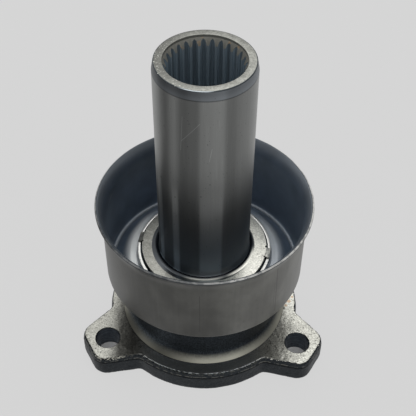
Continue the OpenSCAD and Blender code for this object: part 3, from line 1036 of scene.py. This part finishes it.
def innerSheet(look):
    f = Finish('innerSheet')
    cloudy = f.noise(8, detail=4)
    # Painted light and shade inside: a painted highlight on the flat seat of the floor, strongest on the
    # left, the slope and the right side painted lighter, a painted shadow high on the left, a painted
    # highlight along the bottom bend and the flare painted lighter
    low = 1 - f.above(f.z, 44, 46)
    soft = f.noise(9, detail=2, shift=6.0) * 0.5 + 0.75
    left = f.above(0 - f.x, 20, 31)
    right = f.facing(*look['insidePaintedLight'])
    floor = (1 - f.above(f.radius, 31.5, 36.0)) * low * soft * (left * 0.92 + right * 0.42 + 0.10)
    slope = (1 - f.above(f.radius, 37.5, 39.5)) * low
    shadow = f.above(0 - f.x, 0, 20) * f.above(f.z, 55, 68)
    bend = f.within(f.radius, 39.2, 40.2, 0.5) * (1 - f.above(f.z, 38.4, 39.6))
    start, end, width = look['insideScratch']
    scratch = f.line(f.bearing * math.degrees(1), f.z, start, end, width)
    flare = f.above(f.z, shield['rim'] - 6.0, shield['rim'])

    colour = f.mottled(cloudy, look['inside'], 0.9, 1.1)
    colour = f.over(colour, flare * 0.45, look['floor'], 0.25)
    colour = f.dimmed(colour, f.above(f.x, 0, 35) * 0.2 + slope * 0.5 + 1 - shadow * 0.25)
    colour = f.mix(floor, colour, look['floor'])
    colour = f.mix(bend * 0.25, colour, look['floor'])
    colour = f.mix(scratch * 0.4, colour, look['edge'])
    return f.coat(colour, 0.4, 0.30 + cloudy * 0.06, f.bump(f.noise(0.4), 0.003))


# The cut edge of the sheet, bright bare metal in the middle with a painted highlight towards the right,
# and painted shade along both of its roundings
def cutEdge(look):
    f = Finish('cutEdge')
    flare = math.radians(shield['flareAngle'])
    across = (f.radius - rimEnd().x) * math.cos(flare) - (f.z - rimEnd().y) * math.sin(flare)
    collar = 1 - f.above(f.z, 50, 51)
    middle = f.maths('MAXIMUM', f.within(across, -0.30, 0.30, 0.14), collar)
    right = f.above(f.x / f.radius, -0.3, 0.8) * 0.65 + 0.35
    broken = f.flecks(2.5, 0.36, 0.56, detail=3) * 0.5 + 0.5
    share = f.maths('MAXIMUM', right * broken, collar)
    nicks = f.flecks(0.8, 0.62, 0.70, shift=4.0)

    colour = f.mix(middle * share, shaded(look['inside'], 0.25), look['edge'])
    colour = f.over(colour, nicks * 0.6, look['inside'], 0.3)
    return f.coat(colour, 1.0, 0.30, f.bump(f.noise(0.5), 0.02))


# Finishes of the flange: blasted top, broken edge, scale on its sides, turned foot ring

flangeLook = {
    'blasted': (0.450, 0.448, 0.405),
    # painted light and shade on the top, by place
    'blastedPaintedLightAndShade': (('x', 18, 36, 0.40), ('x', -20, -31, -0.74), ('x', -35, -42, 0.78),
                     ('y', -14, 0, 0.12)),
    # bluish tone for the front of the top
    'frontTopTint': (0.480, 0.520, 0.540),
    'edge': (0.240, 0.235, 0.205),
    'scale': (0.027, 0.032, 0.037),
    'turned': (0.400, 0.395, 0.335),
    'turnedPaintedLight': (-6, 28, 26),
    'machined': (0.330, 0.330, 0.315),
    'holeWall': ((0.036, 0.048, 0.064), (0.100, 0.122, 0.148)),
    'rust': (0.620, 0.420, 0.270),
    'rustSpots': (((38.9, -0.9, 10.9), 1.1), ((37.4, -3.4, 10.9), 0.8), ((40.5, 1.6, 10.8), 0.7)),
    'trimBelow': 2.2,    # mm from the top down to the line that the trimming left
}


def blastedTop(look):
    f = Finish('blastedTop')
    grain = f.noise(0.6, detail=4, rough=0.65)
    pits = f.noise(2.2, detail=4)
    specks = f.flecks(0.8, 0.58, 0.66, detail=3, shift=5.0)
    coarse = f.flecks(3.0, 0.56, 0.70, detail=4, shift=1.0)
    rusty = 0
    for place, size in look['rustSpots']:
        rusty = f.spot(place, size) + rusty
    front = f.above(0 - f.y, 20, 32) * (1 - f.above(f.maths('ABSOLUTE', f.x), 18, 30))
    # Painted light and shade on the top: lighter to the right and towards the back, darker on the left
    # lug near the hub and lighter again at its tip
    rightBack = f.above(f.x, 28, 36) * f.above(f.y, -17, -8)
    paintedLightAndShade = f.tone(1, look['blastedPaintedLightAndShade']) + rightBack * 0.45

    colour = f.mottled(grain, look['blasted'], 0.62, 1.25)
    colour = f.dimmed(colour, f.maths('MINIMUM', paintedLightAndShade, 2.0))
    colour = f.over(colour, coarse * 0.3, look['blasted'], 0.55)
    # The front of the top turns bluish and smoother
    colour = f.mix(front * 0.7, colour, look['frontTopTint'])
    colour = f.over(colour, specks * (0.75 - front * 0.6), look['blasted'], 0.2)
    colour = f.mix(f.maths('MINIMUM', rusty, 1.0) * 0.8, colour, look['rust'])
    return f.coat(colour, 1.0, 0.26 + pits * 0.08, f.bump(grain + pits * 1.2, 0.012))


def forgedScale(look):
    f = Finish('forgedScale')
    grain = f.noise(0.6, detail=4)
    pits = f.noise(2.4, detail=4)
    bare = f.flecks(1.3, 0.62, 0.74, detail=4, shift=6.0)
    trim = flange['thick'] - look['trimBelow']
    dashes = f.within(f.z, trim + 0.05, trim + 0.3, 0.15) * f.flecks(1.6, 0.42, 0.55, detail=3)
    # Bright dashes along the trim line, and a band of painted shade just under it
    under = f.within(f.z, trim - 0.7, trim - 0.3, 0.3)

    colour = f.mottled(grain, look['scale'], 0.5, 1.1)
    colour = f.dimmed(colour, 1 - under * 0.6)
    colour = f.mix(bare * 0.2 + dashes * 0.45, colour, look['edge'])
    return f.coat(colour, 0.9, 0.42 + pits * 0.1, f.bump(grain + pits * 1.5, 0.05))


def forgedEdge(look):
    f = Finish('forgedEdge')
    broken = f.flecks(0.9, 0.44, 0.60, detail=4, shift=2.0)
    # The broken edge shows bare metal in places, with a painted highlight at the left front and less on
    # the right
    leftFront = f.above(0 - f.x, 32, 36) * f.above(0 - f.y, 31, 33)
    share = (0.22 + leftFront * 0.6) * (1 - f.above(f.x, 22, 30) * 0.7)

    colour = f.mix(broken * share, shaded(look['scale'], 0.7), look['edge'])
    colour = f.over(colour, broken * leftFront, look['edge'], 2.0)
    return f.coat(colour, 1.0, 0.34, f.bump(f.noise(0.5, detail=3), 0.04))


def turnedFoot(look):
    f = Finish('turnedFoot')
    ringTop = flange['thick'] + flange['ringStep']
    rings = f.turned(0.35, f.radius + f.z)
    grain = f.noise(0.6, detail=3)
    wall = f.above(f.z + (f.noise(0.9, detail=4) - 0.5) * 0.7, ringTop + 0.5, ringTop + 3.4)
    # Painted light and shade on the foot ring: lighter at the front and right and towards the back, the
    # wall above it lighter on the left, and a painted shade line along the ring's outer edge
    bright = f.facing(*look['turnedPaintedLight'])
    far = f.above(f.y, -22, -8)
    outline = f.above(f.radius, flange['ringRadius'] - 0.16, flange['ringRadius'] - 0.06)

    colour = f.mottled(rings, look['turned'], 0.85, 1.1)
    colour = f.dimmed(colour, 0.34 + bright * 0.52 + far * 0.2)
    rough = f.mottled(grain, look['scale'], 0.55, 1.5)
    colour = f.mix(wall, colour, f.dimmed(rough, f.above(0 - f.x, 8, 26) * 1.3 + 0.7))
    colour = f.over(colour, outline, look['scale'], 0.4)
    return f.coat(colour, 1.0, 0.30 + wall * 0.15, f.bump(rings * 0.4 + grain * wall, 0.03))


def machinedFace(look):
    f = Finish('machinedFace')
    rings = f.turned(0.25, f.radius)
    stains = f.flecks(6, 0.5, 0.7, detail=4)
    colour = f.mottled(rings, look['machined'], 0.85, 1.1)
    colour = f.over(colour, stains * 0.4, look['machined'], 0.5)
    return f.coat(colour, 1.0, 0.34, f.bump(rings, 0.01))


def drilledHole(look):
    f = Finish('drilledHole')
    rings = f.noise(0.5, detail=2, stretch=(6, 6, 1))
    return f.coat(f.mix(f.above(rings, 0.3, 0.7), *look['holeWall']), 0.6, 0.34, f.bump(rings, 0.02))


# Finishes of the pieces inside the flange: colour and roughness

insideLook = {
    'bushBronze': ((0.55, 0.36, 0.15), 0.38),
    'bushSteel': ((0.30, 0.31, 0.32), 0.35),
    'platedSteel': ((0.50, 0.46, 0.34), 0.35),
    'springSteel': ((0.06, 0.06, 0.07), 0.3),
    'rubber': ((0.018, 0.018, 0.018), 0.62),
    'rubberDust': (0.045, 0.044, 0.042),
}


def plainMetal(name):
    colour, roughness = insideLook[name]
    f = Finish(name)
    rings = f.turned(0.2, f.radius)
    worn = f.mix(f.flecks(3, 0.4, 0.7, detail=3) * 0.5, colour, shaded(colour, 0.7))
    return f.coat(worn, 1.0, roughness, f.bump(rings, 0.01))


def mouldedRubber():
    colour, roughness = insideLook['rubber']
    f = Finish('mouldedRubber')
    dusty = f.mix(f.flecks(4, 0.45, 0.75, detail=4), colour, insideLook['rubberDust'])
    return f.coat(dusty, 0.0, roughness, f.bump(f.noise(0.6), 0.03))


# Making the yoke

barrelTurning([(blastedShoulder(barrelLook), onShoulder),
               (turnedEnd(barrelLook), lambda place, normal: not onShoulder(place, normal)),
               (groundWall(barrelLook), onWall), (cutSplines(barrelLook), inSplines)])
dustShieldPressing([(innerSheet(shieldLook), everywhere), (outerSheet(shieldLook), sheetOutside),
                    (cutEdge(shieldLook), sheetEdge)])
flangeForging([(forgedScale(flangeLook), everywhere), (forgedEdge(flangeLook), onEdge),
               (blastedTop(flangeLook), onTop), (turnedFoot(flangeLook), onHub),
               (machinedFace(flangeLook), machined), (drilledHole(flangeLook), inHole)])
bushPieces({'bush_rubber': mouldedRubber(), 'bush_sleeve': plainMetal('bushBronze'),
            'bush_shell': plainMetal('bushSteel')})
for name, finish in (('core_plug', plainMetal('platedSteel')),
                     ('retaining_ring', plainMetal('springSteel'))):
    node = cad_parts[name]
    node.data.materials.clear()
    node.data.materials.append(finish)


# Floor, world, lamp and the cards that only reflections see

studio = {
    'floorColour': (0.665, 0.665, 0.665),
    'floorSize': 30.0,    # m
    'evenness': 0.92,    # share of the floor's light that does not depend on the lamp
    'horizon': 0.30,
    'zenith': 1.0,
    'skyBand': (-0.05, 0.75),    # upward share over which one turns into the other
    'keyStrength': 5.0,    # W
    'keyPlace': (-0.1, 1.0, 1.5),    # m
    'keySize': (1.6, 0.9),
    'keyAim': (0, 0, 0.05),
    'underHoles': 0.88,    # how much of the even light is held back under the bolt holes
}

cards = {
    'radius': 115.0,    # mm
    'height': 190.0,
    'bands': (    # where each starts, in degrees from the camera's side, and its brightness
        (-160, 0.85), (-100, 0.28), (-72, 0.70), (-51, 0.34), (-30, 0.42), (-8, 0.86), (8, 0.96),
        (20, 1.00), (32, 1.08), (42, 0.57), (69, 0.76), (110, 0.87)),
    'end': 170,
    'softness': 2.0,
}

bpy.ops.mesh.primitive_plane_add(size=studio['floorSize'])
floor = bpy.context.object
floor.name = 'studioFloor'
paper = Finish('paleFloor')
seen = paper.node('LightPath', out='Is Camera Ray')
for ray in ('Is Glossy Ray', 'Is Transmission Ray'):
    seen = paper.maths('MAXIMUM', seen, paper.node('LightPath', out=ray))
for hole in holeMiddles():
    away = paper.maths('SQRT', (paper.x - hole.x) * (paper.x - hole.x)
                       + (paper.y - hole.y) * (paper.y - hole.y))
    under = 1 - paper.above(away, flange['holeRadius'] + 1, flange['holeRadius'] + 1.5)
    seen = seen * (1 - under * studio['underHoles'])
lit = paper.shader(studio['floorColour'], 0.0, 1.0, Specular_IOR_Level=0.0)
even = paper.node('Emission', {'Color': (*studio['floorColour'], 1), 'Strength': 1.0})
floor.data.materials.append(paper.ended(paper.node(
    'MixShader', {0: seen * studio['evenness'], 1: lit, 2: even})))

world = bpy.data.worlds.new('studioWorld')
bpy.context.scene.world = world
sky = Finish('studioWorld', world)
upwards = sky.node('SeparateXYZ', {'Vector': sky.node('TexCoord', out='Generated')}, 'Z')
brightness = sky.above(upwards, *studio['skyBand']) * (studio['zenith'] - studio['horizon'])
brightness = brightness + studio['horizon']
toCamera = sky.node('LightPath', out='Is Camera Ray')
strength = brightness + toCamera * (studio['floorColour'][0] - brightness)
glow = sky.node('Background', {'Color': (1, 1, 1, 1), 'Strength': strength})
sky.node('OutputWorld', {'Surface': glow})

bpy.ops.object.light_add(type='AREA', location=studio['keyPlace'])
lamp = bpy.context.object
lamp.name = 'keyLamp'
lamp.data.shape = 'RECTANGLE'
lamp.data.size, lamp.data.size_y = studio['keySize']
lamp.data.energy = studio['keyStrength']
aim = Vector(studio['keyAim']) - Vector(studio['keyPlace'])
lamp.rotation_euler = aim.to_track_quat('-Z', 'Y').to_euler()


def reflectionCards():
    bpy.ops.mesh.primitive_cylinder_add(vertices=128, radius=cards['radius'] * mm,
                                        depth=cards['height'] * mm, end_fill_type='NOTHING',
                                        location=(0, 0, (cards['height'] / 2 + 1) * mm))
    ring = settled(bpy.context.object, 'reflectionCards')
    f = Finish('reflectionCards')
    bearing = f.maths('ARCTAN2', f.x, 0 - f.y) * math.degrees(1)
    starts = [start for start, shade in cards['bands']]
    cover = f.within(bearing, starts[0], cards['end'], cards['softness'])
    light, before = 0, 0
    for start, shade in cards['bands']:
        light = f.above(bearing, start - cards['softness'], start) * (shade - before) + light
        before = shade
    clear = f.node('BsdfTransparent')
    card = f.node('Emission', {'Color': (1, 1, 1, 1), 'Strength': light})
    ring.data.materials.append(f.ended(f.node('MixShader', {0: cover, 1: clear, 2: card})))
    for ray in ('camera', 'diffuse', 'transmission', 'volume_scatter', 'shadow'):
        setattr(ring, 'visible_' + ray, False)


reflectionCards()
bpy.context.scene.view_settings.view_transform = 'Standard'
print('studio set')
